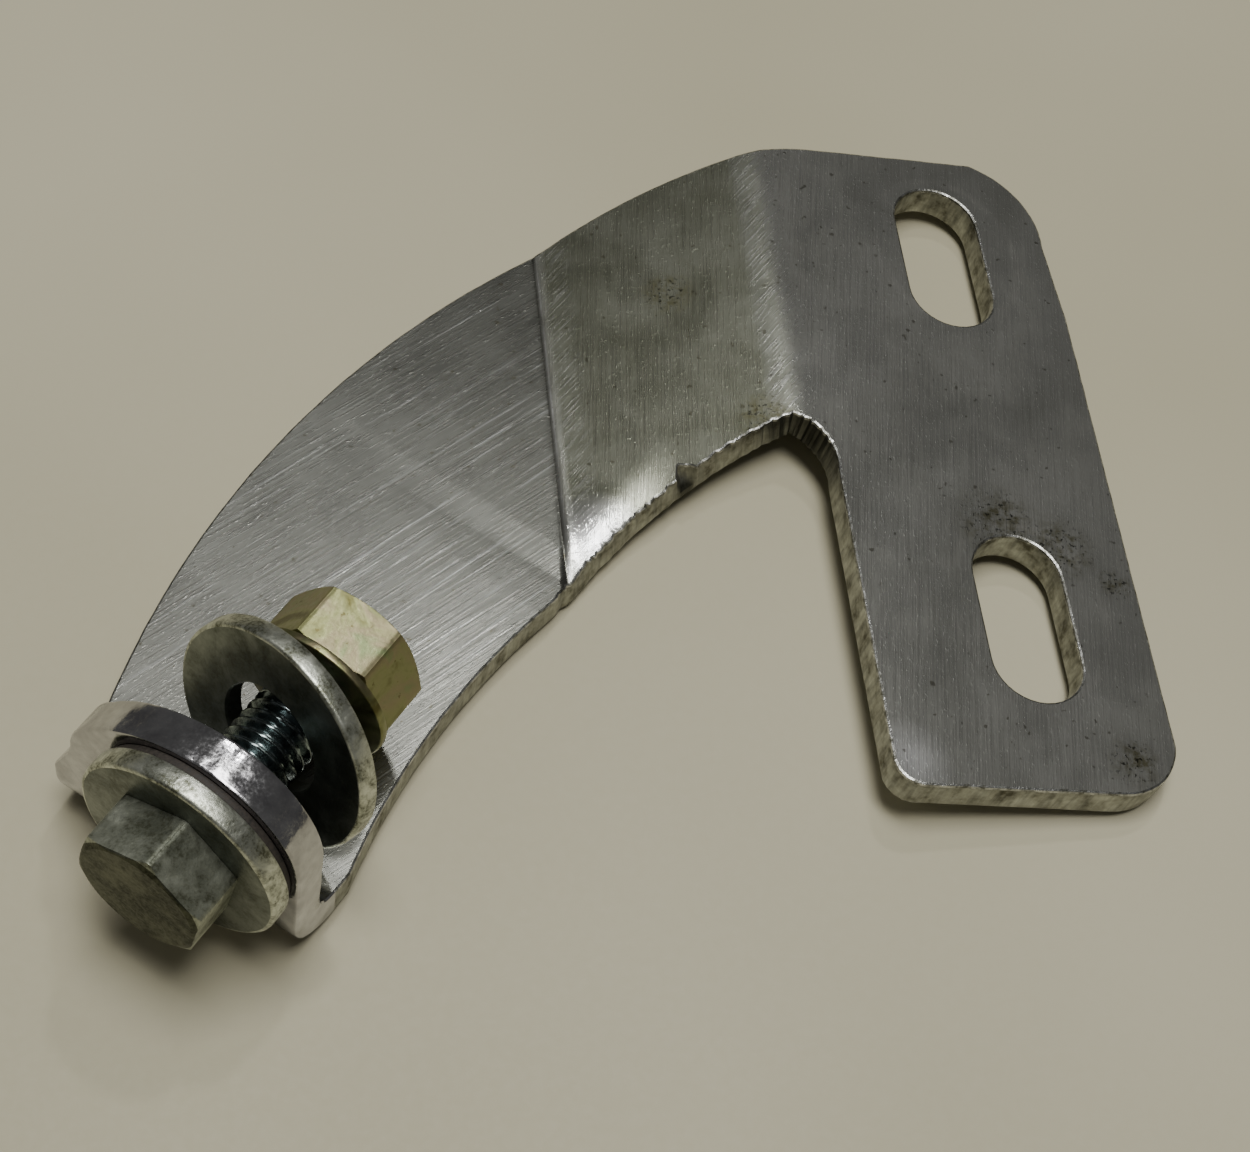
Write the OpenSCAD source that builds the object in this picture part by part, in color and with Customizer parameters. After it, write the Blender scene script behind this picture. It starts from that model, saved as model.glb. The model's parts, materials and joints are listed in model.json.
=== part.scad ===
// Swivel clamp bracket: a bent plate with two mounting slots and a turned-up
// ear, which carries a bolt, its washers and a nut.
// Origin: midway between the two slots, on the flange's underside.
// +Z points out of the flange's top, +Y runs along the slots.

/* [Plate] */
// Thickness of the plate
plate_t = 5; // [4:0.5:6]
// Distance from the slot line to the flange's right edge
flange_right = 18; // [15:0.5:22]
// Distance from the slot line to the flange's left edge, beside the notch
flange_left = 23.5; // [20:0.5:24]
// Distance from the origin to the flange's bottom edge
flange_bottom = 58.8; // [52:0.2:64]
// Distance from the origin to the flange's top edge, at its right end
flange_top = 52.2; // [50:0.2:56]
// Angle by which the middle of the plate drops away from the flange
drop_angle = 15; // [8:1:20]
// Angle by which the arm turns back up at the crease
crease_angle = 8; // [2:1:12]

/* [Slots] */
// Width of each slot
slot_w = 13; // [10:0.5:14]
// Length of each slot from end to end
slot_l = 26.5; // [20:0.5:30]
// Distance between the slots' middles
slot_pitch = 64; // [60:0.5:68]

/* [Ear] */
// Direction of the bolt, measured on the arm from +X
bolt_angle = 52; // [50:0.5:54]
// Height of the bolt's axis above the arm's top face
axis_h = 13.4; // [13.4:0.1:16]
// Radius inside the bend between arm and ear
ear_bend_r = 3.2; // [2:0.1:3.6]
// Reach of the ear from the axis to its right side
ear_right = 14.2; // [13.5:0.1:15]
// Radius of the ear's rounded top, about the bolt's axis
ear_top_r = 14.1; // [13.5:0.1:15]

/* [Hardware] */
// Thread diameter of the bolt, which the nut shares
thread_d = 10; // [8:1:10]
// Length of the bolt under its head
bolt_len = 35; // [35:1:45]
// Width across the flats of the bolt's head
head_af = 16; // [15:0.5:17]
// Width across the flats of the nut
nut_af = 17; // [15:0.5:17]
// Height of the bolt's head
head_h = 7.2; // [5:0.1:8]
// Height of the nut
nut_h = 8.8; // [6:0.1:10]
// Outer diameter of the washer under the bolt's head
head_washer_d = 27.6; // [22:0.2:30]
// Thickness of the washer under the bolt's head
head_washer_t = 2.8; // [2:0.1:3]
// Outer diameter of the thin washer against the ear
friction_washer_d = 26.4; // [20:0.2:28]
// Thickness of the thin washer against the ear
friction_washer_t = 1.1; // [0.6:0.1:1.5]
// Outer diameter of the wide loose washer
fender_d = 30.3; // [26:0.1:30.3]
// Thickness of the wide loose washer
fender_t = 2.6; // [2:0.1:2.7]
// Hole diameter of the wide loose washer
fender_hole_d = 14.6; // [14.6:0.1:16]
// Lean of the wide loose washer away from square on the bolt
fender_lean = 15; // [10:1:16]
// Outer diameter of the washer against the nut
nut_washer_d = 20.6; // [18:0.2:22]
// Thickness of the washer against the nut
nut_washer_t = 1.1; // [1:0.1:2]

/* [Hidden] */
$fn = 96;

// Lines on the flat blank, along its X, where the plate is folded
drop_x = -28;
crease_x = -62.5;
// Middle of the ear's outer face, on the flat blank and under the bolt's axis
ear_x = -110.65;
ear_y = -66.9;
// Reach of the bend and the ear's foot from the axis to their left side
ear_left = 21.4;
// Distance from the ear's outer face to the start of its bend
bend_out = ear_bend_r + plate_t;
// Height of the ear's foot, where its bend ends, below the bolt's axis
foot_z = ear_bend_r - axis_h;
// Straight stretch at each end of the bend, inside the arm and the ear
bend_tab = 2;
// Overlap of two flats at a fold
fold_lap = 0.8;
// Play around a part that turns, and between faces that turn on each other
play = 0.08;
face_gap = 0.03;
thread_r = thread_d / 2;
bore_r = thread_r + play;
slot_end = (slot_l - slot_w) / 2;
// How far a hexagon's end face stops short of its flats, and its cone's slope
hex_face_inset = 0.2;
hex_cone_angle = 26;
// Chamfer at the bolt's end, and how far its shank reaches into its head
tip_chamfer = 1;
root_lap = 1;

// How far the nut's outer face is past the bolt's end, as it is backed off
nut_overhang = 0.7;
// Turn of the nut and of the bolt's head about the bolt, from a corner upwards
nut_roll = -22.5;
head_roll = 9.5;

// Places along the bolt, from the ear's outer face towards the nut
friction_x = -friction_washer_t - face_gap;
head_washer_x = friction_x - head_washer_t - face_gap;
head_x = head_washer_x - face_gap;
bolt_end = head_x + bolt_len;
nut_x = bolt_end + nut_overhang - nut_h;
nut_washer_x = nut_x - nut_washer_t - face_gap;
fender_x = 13.1;
// How far the loose washer hangs off the bolt's axis, to its left and up
fender_left = -0.2;
fender_up = 2.1;
// Direction in which the loose washer's top leans, about the bolt
fender_roll = -47;

// Points on the arc through a, b and c, without c itself
function arc_through(a, b, c, steps) =
    let (d = 2 * (a.x * (b.y - c.y) + b.x * (c.y - a.y) + c.x * (a.y - b.y)),
         aa = a * a,
         bb = b * b,
         cc = c * c,
         m = [(aa * (b.y - c.y) + bb * (c.y - a.y) + cc * (a.y - b.y)) / d,
              (aa * (c.x - b.x) + bb * (a.x - c.x) + cc * (b.x - a.x)) / d],
         r = norm(a - m),
         from = atan2(a.y - m.y, a.x - m.x),
         full = atan2(c.y - m.y, c.x - m.x) - from,
         turn = d > 0 ? (full + 720) % 360 : -((720 - full) % 360))
    [for (i = [0 : steps - 1]) m + r * [cos(from + turn * i / steps), sin(from + turn * i / steps)]];

// A point on the blank, given along the bolt's direction and across to its left
function from_ear(along, left) =
    [ear_x + along * cos(bolt_angle) - left * sin(bolt_angle),
     ear_y + along * sin(bolt_angle) + left * cos(bolt_angle)];

// The same point given on the blank, turned into the bolt's own directions
function to_ear(p) =
    [(p.x - ear_x) * cos(bolt_angle) + (p.y - ear_y) * sin(bolt_angle),
     (p.y - ear_y) * cos(bolt_angle) - (p.x - ear_x) * sin(bolt_angle)];

// The plate's outline is in three parts, one for each flat, anticlockwise.
// Each flat runs past its fold by a small lap, inside the next flat.
flange_outline = concat(
    arc_through([-flange_left, 5 - flange_bottom], [1.3 - flange_left, 1.3 - flange_bottom],
                [5 - flange_left, 0.4 - flange_bottom], 6),
    arc_through([flange_right - 10, -flange_bottom], [flange_right - 3, 2.8 - flange_bottom],
                [flange_right - 0.3, 9 - flange_bottom], 10),
    [[flange_right, flange_top - 30]],
    arc_through([flange_right - 0.8, flange_top - 16], [flange_right - 3.2, flange_top - 6],
                [flange_right - 11.5, flange_top], 14),
    arc_through([-19, flange_top - 1], [-24, flange_top - 1.6], [drop_x, 49.6], 5),
    [[drop_x, 49.6], [drop_x, -0.3]],
    arc_through([drop_x + 0.2, -0.3], [-25.4, -2.6], [-flange_left, -9.6], 10));

middle_outline = concat(
    [[drop_x + fold_lap / 4, -0.5], [drop_x + fold_lap / 4, 49.5]],
    arc_through([drop_x, 49.5], [-45.5, 42.5], [crease_x, 31.6], 12),
    [[crease_x - fold_lap / 4, 31.5], [crease_x - fold_lap / 4, -26.1]],
    arc_through([crease_x + 0.1, -25.9], [-45.5, -9.8], [-30.6, -0.9], 12));

arm_outline = [for (p = concat(
    [[crease_x + fold_lap, -25.8], [crease_x + fold_lap, 31.4]],
    arc_through([crease_x, 31.8], [-93.1, 6.1], from_ear(bend_out + 4, 23.6), 24),
    [from_ear(bend_out + 2, 23), from_ear(bend_out, ear_left)],
    [from_ear(bend_out, -ear_right)],
    arc_through(from_ear(bend_out + 3, -ear_right), [-78.4, -43], [crease_x, -26.3], 16)))
    to_ear(p)];

// Outline of the ear, seen from the nut's side: left is +X, the axis is at 0
ear_outline = concat(
    [[-ear_right, foot_z], [ear_left, foot_z], [ear_left, foot_z + bend_tab]],
    [[19.1, -3]],
    arc_through([18.7, -1], [18, 2.5], [16, 5.2], 6),
    arc_through([16, 5.2], [9, 11.4], [0, ear_top_r], 10),
    arc_through([0, ear_top_r], [-9.6, 10.8], [-ear_right, 1.5], 12));

// Turns the middle of the plate down about the flange's top line
module drop() {
    translate([drop_x, 0, plate_t])
        rotate([0, -drop_angle, 0])
            translate([-drop_x, 0, -plate_t])
                children();
}

// Turns the arm back up about the crease's top line, after the drop
module onto_arm() {
    drop()
        translate([crease_x, 0, plate_t])
            rotate([0, crease_angle, 0])
                translate([-crease_x, 0, -plate_t])
                    children();
}

// Places children on the bolt: +X runs from the ear's outer face to the nut
module onto_bolt() {
    onto_arm()
        translate([ear_x, ear_y, plate_t + axis_h])
            rotate([0, 0, bolt_angle])
                children();
}

module slot_cutter() {
    translate([0, 0, -1])
        linear_extrude(plate_t + 2)
            union() {
                square([slot_w, 2 * slot_end], center = true);
                for (side = [-1, 1])
                    translate([0, side * slot_end])
                        circle(d = slot_w);
            }
}

// Section through the bend: a quarter ring with a straight tab at each end
module bend_section() {
    translate([bend_out, foot_z])
        intersection() {
            difference() {
                circle(r = bend_out);
                circle(r = ear_bend_r);
            }
            translate([-bend_out, -bend_out])
                square(bend_out);
        }
    translate([0, foot_z])
        square([plate_t, bend_tab]);
    translate([bend_out, foot_z - bend_out])
        square([bend_tab, plate_t]);
}

// The bend from the arm into the ear, over the ear's whole foot
module ear_bend() {
    translate([0, ear_left, 0])
        rotate([90, 0, 0])
            linear_extrude(ear_left + ear_right)
                bend_section();
}

// The flat of the ear, from its outer face to its inner face
module ear_flat() {
    rotate([90, 0, 90])
        linear_extrude(plate_t)
            polygon(ear_outline);
}

// The arm's flat, drawn in the bolt's own directions like the ear
module arm_flat() {
    translate([0, 0, -axis_h - plate_t])
        linear_extrude(plate_t)
            polygon(arm_outline);
}

module bracket_plate() {
    color("Silver")
        difference() {
            union() {
                linear_extrude(plate_t)
                    polygon(flange_outline);
                drop()
                    linear_extrude(plate_t)
                        polygon(middle_outline);
                onto_bolt() {
                    arm_flat();
                    ear_bend();
                    ear_flat();
                }
            }
            for (side = [-1, 1])
                translate([0, side * slot_pitch / 2, 0])
                    slot_cutter();
            onto_bolt()
                translate([-1, 0, 0])
                    rotate([0, 90, 0])
                        cylinder(r = bore_r, h = plate_t + 2);
        }
}

// A hexagon along +X whose corners are turned down by a cone at each end asked for
module hexagon(af, height, turned_near, turned_far) {
    corner_r = af / 2 / cos(30);
    outside_r = corner_r + 1;
    face_r = af / 2 - hex_face_inset;
    cone_h = (outside_r - face_r) * tan(hex_cone_angle);
    rotate([0, 90, 0])
        intersection() {
            cylinder(r = corner_r, h = height, $fn = 6);
            rotate_extrude()
                polygon([[0, 0],
                         [turned_near ? face_r : outside_r, 0],
                         [outside_r, turned_near ? cone_h : 0],
                         [outside_r, height - (turned_far ? cone_h : 0)],
                         [turned_far ? face_r : outside_r, height],
                         [0, height]]);
        }
}

// A flat ring whose axis is +X
module washer(outer_d, hole_r, thick) {
    rotate([0, 90, 0])
        difference() {
            cylinder(d = outer_d, h = thick);
            translate([0, 0, -1])
                cylinder(r = hole_r, h = thick + 2);
        }
}

module pivot_bolt() {
    color("DimGray")
        onto_bolt()
            translate([head_x, 0, 0])
                union() {
                    translate([-head_h, 0, 0])
                        rotate([head_roll, 0, 0])
                            hexagon(head_af, head_h, true, false);
                    rotate([0, 90, 0])
                        rotate_extrude()
                            polygon([[0, -root_lap], [thread_r, -root_lap],
                                     [thread_r, bolt_len - tip_chamfer],
                                     [thread_r - tip_chamfer, bolt_len], [0, bolt_len]]);
                }
}

module head_washer() {
    color("LightSlateGray")
        onto_bolt()
            translate([head_washer_x, 0, 0])
                washer(head_washer_d, bore_r, head_washer_t);
}

module friction_washer() {
    color("Black")
        onto_bolt()
            translate([friction_x, 0, 0])
                washer(friction_washer_d, bore_r, friction_washer_t);
}

module fender_washer() {
    color("SlateGray")
        onto_bolt()
            translate([fender_x, fender_left, fender_up])
                rotate([fender_roll, 0, 0])
                    rotate([0, fender_lean, 0])
                        washer(fender_d, fender_hole_d / 2, fender_t);
}

module nut_washer() {
    color("Gold")
        onto_bolt()
            translate([nut_washer_x, 0, 0])
                washer(nut_washer_d, bore_r, nut_washer_t);
}

module clamp_nut() {
    color("DarkKhaki")
        onto_bolt()
            translate([nut_x, 0, 0])
                rotate([nut_roll, 0, 0])
                    difference() {
                        hexagon(nut_af, nut_h, true, true);
                        translate([-1, 0, 0])
                            rotate([0, 90, 0])
                                cylinder(r = bore_r, h = nut_h + 2);
                    }
}

bracket_plate();
pivot_bolt();
head_washer();
friction_washer();
fender_washer();
nut_washer();
clamp_nut();
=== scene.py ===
"""Looks of the swivel clamp bracket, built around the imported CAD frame."""

import json
import math

import bmesh
import bpy
from mathutils import Matrix, Vector, noise


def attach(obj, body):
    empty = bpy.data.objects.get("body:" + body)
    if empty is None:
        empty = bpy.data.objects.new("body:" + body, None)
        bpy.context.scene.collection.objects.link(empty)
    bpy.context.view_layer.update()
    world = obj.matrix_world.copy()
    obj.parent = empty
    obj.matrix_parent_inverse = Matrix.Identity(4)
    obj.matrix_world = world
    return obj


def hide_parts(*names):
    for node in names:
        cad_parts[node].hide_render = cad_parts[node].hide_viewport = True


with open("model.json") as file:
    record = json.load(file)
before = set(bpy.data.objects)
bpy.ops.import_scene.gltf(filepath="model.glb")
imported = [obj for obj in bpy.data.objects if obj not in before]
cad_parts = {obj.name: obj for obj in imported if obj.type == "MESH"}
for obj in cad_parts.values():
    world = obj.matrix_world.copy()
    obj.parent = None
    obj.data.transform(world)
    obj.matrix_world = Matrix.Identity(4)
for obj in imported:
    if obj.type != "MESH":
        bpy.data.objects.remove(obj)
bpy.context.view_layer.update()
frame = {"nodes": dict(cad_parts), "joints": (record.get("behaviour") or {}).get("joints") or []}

MM = 0.001

# The plate's sizes in millimetres, as in the CAD
PLATE_T = 5.0
FLANGE_RIGHT = 18.0
FLANGE_LEFT = 23.5
FLANGE_BOTTOM = 58.8
FLANGE_TOP = 52.2
DROP_X = -28.0
CREASE_X = -62.5
DROP = math.radians(15)
CREASE = math.radians(8)
SLOT_W = 13.0
SLOT_L = 26.5
SLOT_PITCH = 64.0
EAR_X = -110.65
EAR_Y = -66.9
BOLT_ANGLE = math.radians(52)
AXIS_H = 13.4
BEND_R = 3.2
BEND_OUT = BEND_R + PLATE_T
EAR_LEFT = 21.4
EAR_RIGHT = 14.2
EAR_TOP = 14.1
BORE_R = 5.08
# Length of flat plate that the bend takes up, and the flat place of the ear's axis
BEND_LENGTH = 8.95
EAR_AXIS_Q = BEND_OUT - BEND_LENGTH - AXIS_H + BEND_R

# The hardware's sizes in millimetres, and its places along the bolt
THREAD_R = 4.97
THREAD_PITCH = 1.5
HEAD_AF = 16.0
HEAD_H = 7.2
NUT_AF = 17.0
NUT_H = 8.8
FRICTION_X, FRICTION_T, FRICTION_R = -1.13, 1.1, 13.2
HEAD_WASHER_X, HEAD_WASHER_T, HEAD_WASHER_R = -3.96, 2.8, 13.8
HEAD_X = -3.99
BOLT_END = 31.01
NUT_X = 22.91
NUT_WASHER_X, NUT_WASHER_T, NUT_WASHER_R = 21.78, 1.1, 10.3
FENDER_X, FENDER_LEFT, FENDER_UP = 13.1, -0.2, 2.1
FENDER_T, FENDER_R, FENDER_HOLE_R = 2.6, 15.15, 7.3
FENDER_LEAN = math.radians(15)
FENDER_ROLL = math.radians(-47)
NUT_BORE_R = 5.06
THREAD_DEPTH = 0.92
# The cone that turns a hexagon's corners down, how far inside the flats it starts, and
# where round the axis a hexagon's wear starts
HEX_CONE = math.radians(26)
HEX_FACE_INSET = 0.2
HEX_START = math.radians(120)
HEAD_ROLL = math.radians(9.5)
NUT_ROLL = math.radians(-22.5)

# Marked places on the blank: the nick in the low edge, the corner by the fold, the painted
# highlight and the smooth spot of the worn low edge, and the painted glint on the flange's corner
NICK = (-44.1, -9.5)
NICK_DEPTH = 2.0
CORNER = (-28.0, -3.0)
PAINTED_EDGE_HIGHLIGHT = (-58.0, -19.0)
BUFFED = (-57.0, -17.5)
PAINTED_CORNER_GLINT = (-21.5, -55.0)
# Dirt on the top face: its place and radius
STAINS = [
    (-1.0, -17.0, 7.5),
    (7.5, -20.0, 6.0),
    (-32.7, -0.5, 5.0),
    (-43.6, 23.0, 4.5),
    (14.5, -25.7, 3.0),
    (10.6, -53.9, 4.5),
]

# How deep and wide the low edge is worn, and how wide the two folds are
WORN_DEPTH = 0.62
WORN_WIDTH = 6.0
FOLD_WIDTH = 5.0
CREASE_WIDTH = 0.9

# Where the folded top face's path starts in X, with its step and number of steps
PROFILE_START = 20.0
PROFILE_STEP = 0.1
PROFILE_STEPS = 1700

# The floor's tilt about Y against the flange, as the bracket lies on its ear, how far it
# reaches and the gap left under the bracket, in metres
FLOOR_TILT = math.radians(-6.7)
FLOOR_REACH = 1.5
FLOOR_GAP = 0.0002

# The photo's camera, fitted to the plate's outline: millimetres, metres and degrees
CAMERA_LENS = 68.67
CAMERA_SENSOR = 36
CAMERA_PLACE = (-0.14076, -0.19693, 0.24770)
CAMERA_TURN = (34.917, -15.2235, -6.1645)

# The room's warm white, and the place that the lights point at, in metres
WARM = (1.0, 0.985, 0.94)
LIGHT_AIM = Vector((-0.05, 0, 0))


# ---------------------------------------------------------------- small helpers


def clamp(value, low=0.0, high=1.0):
    return max(low, min(high, value))


def smooth(value):
    """An S-shaped rise from 0 to 1 as the value goes from 0 to 1."""
    value = clamp(value)
    return value * value * (3 - 2 * value)


def wobble(x, y, z=0.0):
    """Smooth noise from -1 to 1 at a point."""
    return noise.noise(Vector((x, y, z)))


def arc_through(a, b, c, steps):
    """Points on the arc through a, b and c, without c itself."""
    mx, my, r = circle_through(a, b, c)
    start = math.atan2(a[1] - my, a[0] - mx)
    full = math.atan2(c[1] - my, c[0] - mx) - start
    anticlockwise = (b[0] - a[0]) * (c[1] - b[1]) - (b[1] - a[1]) * (c[0] - b[0]) > 0
    turn = full % math.tau if anticlockwise else -((-full) % math.tau)
    return [
        (mx + r * math.cos(start + turn * i / steps), my + r * math.sin(start + turn * i / steps))
        for i in range(steps)
    ]


def circle_through(a, b, c):
    """Centre and radius of the circle through three points."""
    d = 2 * (a[0] * (b[1] - c[1]) + b[0] * (c[1] - a[1]) + c[0] * (a[1] - b[1]))
    aa, bb, cc = (p[0] ** 2 + p[1] ** 2 for p in (a, b, c))
    x = (aa * (b[1] - c[1]) + bb * (c[1] - a[1]) + cc * (a[1] - b[1])) / d
    y = (aa * (c[0] - b[0]) + bb * (a[0] - c[0]) + cc * (b[0] - a[0])) / d
    return x, y, math.hypot(a[0] - x, a[1] - y)


def from_ear(along, left):
    """The place on the blank that lies along the bolt and to its left, from the ear."""
    c, s = math.cos(BOLT_ANGLE), math.sin(BOLT_ANGLE)
    return (EAR_X + along * c - left * s, EAR_Y + along * s + left * c)


def to_ear(x, y):
    """How far a place on the blank lies along the bolt and to its left."""
    c, s = math.cos(BOLT_ANGLE), math.sin(BOLT_ANGLE)
    return ((x - EAR_X) * c + (y - EAR_Y) * s, (y - EAR_Y) * c - (x - EAR_X) * s)


def bridge(bm, low, high):
    """Faces between two closed rings that have as many points."""
    for i in range(len(low)):
        k = (i + 1) % len(low)
        bm.faces.new((low[i], low[k], high[k], high[i]))


def mesh_object(name, bm, materials, sharp=35):
    """A finished object from a bmesh whose points are in metres."""
    bmesh.ops.recalc_face_normals(bm, faces=bm.faces)
    mesh = bpy.data.meshes.new(name)
    bm.to_mesh(mesh)
    bm.free()
    for polygon in mesh.polygons:
        polygon.use_smooth = True
    mesh.set_sharp_from_angle(angle=math.radians(sharp))
    for material in materials:
        mesh.materials.append(material)
    piece = bpy.data.objects.new(name, mesh)
    bpy.context.scene.collection.objects.link(piece)
    return piece


def finish_piece(piece, body, node):
    """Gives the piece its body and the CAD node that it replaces."""
    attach(piece, body)
    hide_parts(node)
    return piece


# ---------------------------------------------------------------- the plate

LOW_ARC_POINTS = ((CREASE_X + 0.1, -25.9), (-45.5, -9.8), (-30.6, -0.9))
LOW_ARC = circle_through(*LOW_ARC_POINTS)


def ear_flat(left, z):
    """A point of the ear, given beside and above the bolt's axis, on the blank."""
    return from_ear(EAR_AXIS_Q - z, left)


def plate_outline():
    """The blank's outline, anticlockwise, with the ear unrolled."""
    right, left, top, low = FLANGE_RIGHT, -FLANGE_LEFT, FLANGE_TOP, -FLANGE_BOTTOM
    points = arc_through((left, low + 5), (left + 1.3, low + 1.3), (left + 5, low + 0.4), 6)
    points += arc_through((right - 10, low), (right - 3, low + 2.8), (right - 0.3, low + 9), 10)
    points += [(right, top - 30)]
    points += arc_through(
        (right - 0.8, top - 16), (right - 3.2, top - 6), (right - 11.5, top), 14
    )
    points += arc_through((-19, top - 1), (-24, top - 1.6), (DROP_X, 49.6), 5)
    points += arc_through((DROP_X, 49.5), (-45.5, 42.5), (CREASE_X, 31.6), 14)
    points += arc_through((CREASE_X, 31.7), (-93.1, 6.1), from_ear(BEND_OUT + 4, 23.6), 24)
    points += [from_ear(BEND_OUT + 2, 23), from_ear(BEND_OUT, EAR_LEFT)]
    foot = BEND_R - AXIS_H
    ear = [(EAR_LEFT, foot), (EAR_LEFT, foot + 2), (19.1, -3)]
    ear += arc_through((18.7, -1), (18, 2.5), (16, 5.2), 6)
    ear += arc_through((16, 5.2), (9, 11.4), (0, EAR_TOP), 10)
    ear += arc_through((0, EAR_TOP), (-9.6, 10.8), (-EAR_RIGHT, 1.5), 12)
    ear += [(-EAR_RIGHT, 1.5), (-EAR_RIGHT, foot)]
    points += [ear_flat(*p) for p in ear]
    points += arc_through(
        from_ear(BEND_OUT + 3, -EAR_RIGHT), (-78.4, -43), (CREASE_X, -26.3), 20
    )
    points += arc_through(*LOW_ARC_POINTS, 16)
    points += arc_through((-28.6, -0.3), (-25.4, -2.6), (left, -9.6), 10)
    points += [(left, -9.6)]
    return points


def slot_outline(side):
    """The upper (1) or lower (-1) slot's outline on the blank."""
    end = (SLOT_L - SLOT_W) / 2
    r = SLOT_W / 2
    points = []
    for sign in (1, -1):
        for i in range(19):
            a = math.pi * i / 18 + (0 if sign > 0 else math.pi)
            points.append((r * math.cos(a), side * SLOT_PITCH / 2 + sign * end + r * math.sin(a)))
    return points


def bore_outline():
    """The outline of the ear's hole on the blank."""
    return [
        ear_flat(BORE_R * math.cos(math.tau * i / 48), BORE_R * math.sin(math.tau * i / 48))
        for i in range(48)
    ]


def resampled(points, step):
    """The closed outline again, with no side longer than step."""
    out = []
    for i, a in enumerate(points):
        b = points[(i + 1) % len(points)]
        length = math.hypot(b[0] - a[0], b[1] - a[1])
        if length < 0.05:
            continue
        parts = max(1, math.ceil(length / step))
        for k in range(parts):
            t = k / parts
            out.append((a[0] + (b[0] - a[0]) * t, a[1] + (b[1] - a[1]) * t))
    return out


def inward(points, i):
    """Unit vector into the metal at an outline's point, for an anticlockwise outline."""
    a, b = points[i - 1], points[(i + 1) % len(points)]
    dx, dy = b[0] - a[0], b[1] - a[1]
    length = math.hypot(dx, dy) or 1.0
    return -dy / length, dx / length


# Levels of the plate's side: inset from the outline and height, bottom to top
SIDE = [
    (0.45, 0.0),
    (0.14, 0.12),
    (0.0, 0.45),
    (0.0, 1.5),
    (0.0, 2.5),
    (0.0, 3.5),
    (0.0, 4.55),
    (0.1, 4.87),
    (0.36, 5.0),
]


def rough_edge(x, y, h):
    """How far the side's face is set in at a point, from filing and sawing."""
    value = 0.05 * (1 + wobble(x * 0.35, y * 0.35, h * 0.5))
    low_edge = smooth((x + 66) / 4) * smooth((-23.0 - x) / 4) * smooth((6 - y) / 4)
    flute = wobble(x * 0.9 + 7, y * 0.9, h * 0.12)
    value += low_edge * 0.28 * (1 + flute) * 0.5
    notch = math.exp(-(((x - CORNER[0]) / 5) ** 2) - (((y - CORNER[1]) / 5) ** 2))
    value += notch * 0.3 * (0.5 + 0.5 * math.sin(5.5 * x - 3.0 * y))
    chips = smooth((h - 3.6) / 1.2) * low_edge
    value += chips * 0.45 * max(0.0, wobble(x * 1.7, y * 1.7, 3.3)) ** 0.7
    nick = clamp(1.25 - math.hypot(x - NICK[0], y - NICK[1]) / 1.5)
    return value + smooth((h - 1.8) / 1.2) * NICK_DEPTH * nick


def add_loop(bm, points, into):
    """The side of one outline as rings of points; returns its bottom and top edges."""
    rings = []
    for inset, h in SIDE:
        ring = []
        for i, (x, y) in enumerate(points):
            nx, ny = inward(points, i)
            depth = into * (inset + (rough_edge(x, y, h) if into > 0 else 0.0))
            ring.append(bm.verts.new((x + nx * depth, y + ny * depth, h)))
        rings.append(ring)
    for low, high in zip(rings, rings[1:]):
        bridge(bm, low, high)
    count = len(points)
    ends = []
    for ring in (rings[0], rings[-1]):
        ends.append([bm.edges.get((ring[i], ring[(i + 1) % count])) for i in range(count)])
    return ends


def fold_slope(x):
    """The sheet's slope at a place along the blank."""
    drop = DROP * smooth((DROP_X + FOLD_WIDTH / 2 - x) / FOLD_WIDTH)
    back = CREASE * smooth((CREASE_X + CREASE_WIDTH / 2 - x) / CREASE_WIDTH)
    return drop - back


def fold_profile():
    """The top face's path in X and Z, step by step leftwards."""
    path = [(PROFILE_START, PLATE_T)]
    for i in range(PROFILE_STEPS):
        x = PROFILE_START - PROFILE_STEP * i
        a = fold_slope(x - PROFILE_STEP / 2)
        px, pz = path[-1]
        path.append((px - PROFILE_STEP * math.cos(a), pz - PROFILE_STEP * math.sin(a)))
    return path


PROFILE = fold_profile()


def low_edge_distance(x, y):
    """Distance into the metal from the curved lower edge of the plate's middle."""
    middle = Vector((LOW_ARC[0], LOW_ARC[1]))
    return (Vector((x, y)) - middle).length - LOW_ARC[2]


def dish(x, y):
    """The worn low edge by the crease and the crease's own groove, in millimetres."""
    worn = smooth((x + 64.5) / 3) * smooth((-43 - x) / 8)
    depth = clamp((WORN_WIDTH - low_edge_distance(x, y)) / WORN_WIDTH)
    groove = 0.07 * math.exp(-(((x - CREASE_X - 0.15) / 0.3) ** 2))
    ridge = 0.05 * math.exp(-(((x - CREASE_X - 0.9) / 0.6) ** 2))
    return ridge - groove - WORN_DEPTH * worn * depth**2


def on_sheet(x, y, h):
    """A point of the blank, at a height over its underside, after the two folds."""
    place = clamp((PROFILE_START - x) / PROFILE_STEP, 0, len(PROFILE) - 1.001)
    i = int(place)
    t = place - i
    px = PROFILE[i][0] * (1 - t) + PROFILE[i + 1][0] * t
    pz = PROFILE[i][1] * (1 - t) + PROFILE[i + 1][1] * t
    a = fold_slope(x)
    return Vector((px - math.sin(a) * (h - PLATE_T), y, pz + math.cos(a) * (h - PLATE_T)))


def folded(x, y, h):
    """A point of the blank after the folds and the ear's bend."""
    along, left = to_ear(x, y)
    if along >= BEND_OUT or x > -75:
        lift = dish(x, y) * h / PLATE_T
        return on_sheet(x, y, h + lift)
    depth = PLATE_T - h
    turned = clamp((BEND_OUT - along) / BEND_LENGTH)
    a = turned * math.pi / 2
    reach = BEND_R + depth
    beyond = max(0.0, BEND_OUT - BEND_LENGTH - along)
    fx, fy = from_ear(BEND_OUT - reach * math.sin(a), left)
    return on_sheet(fx, fy, PLATE_T + BEND_R - reach * math.cos(a) + beyond)


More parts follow.
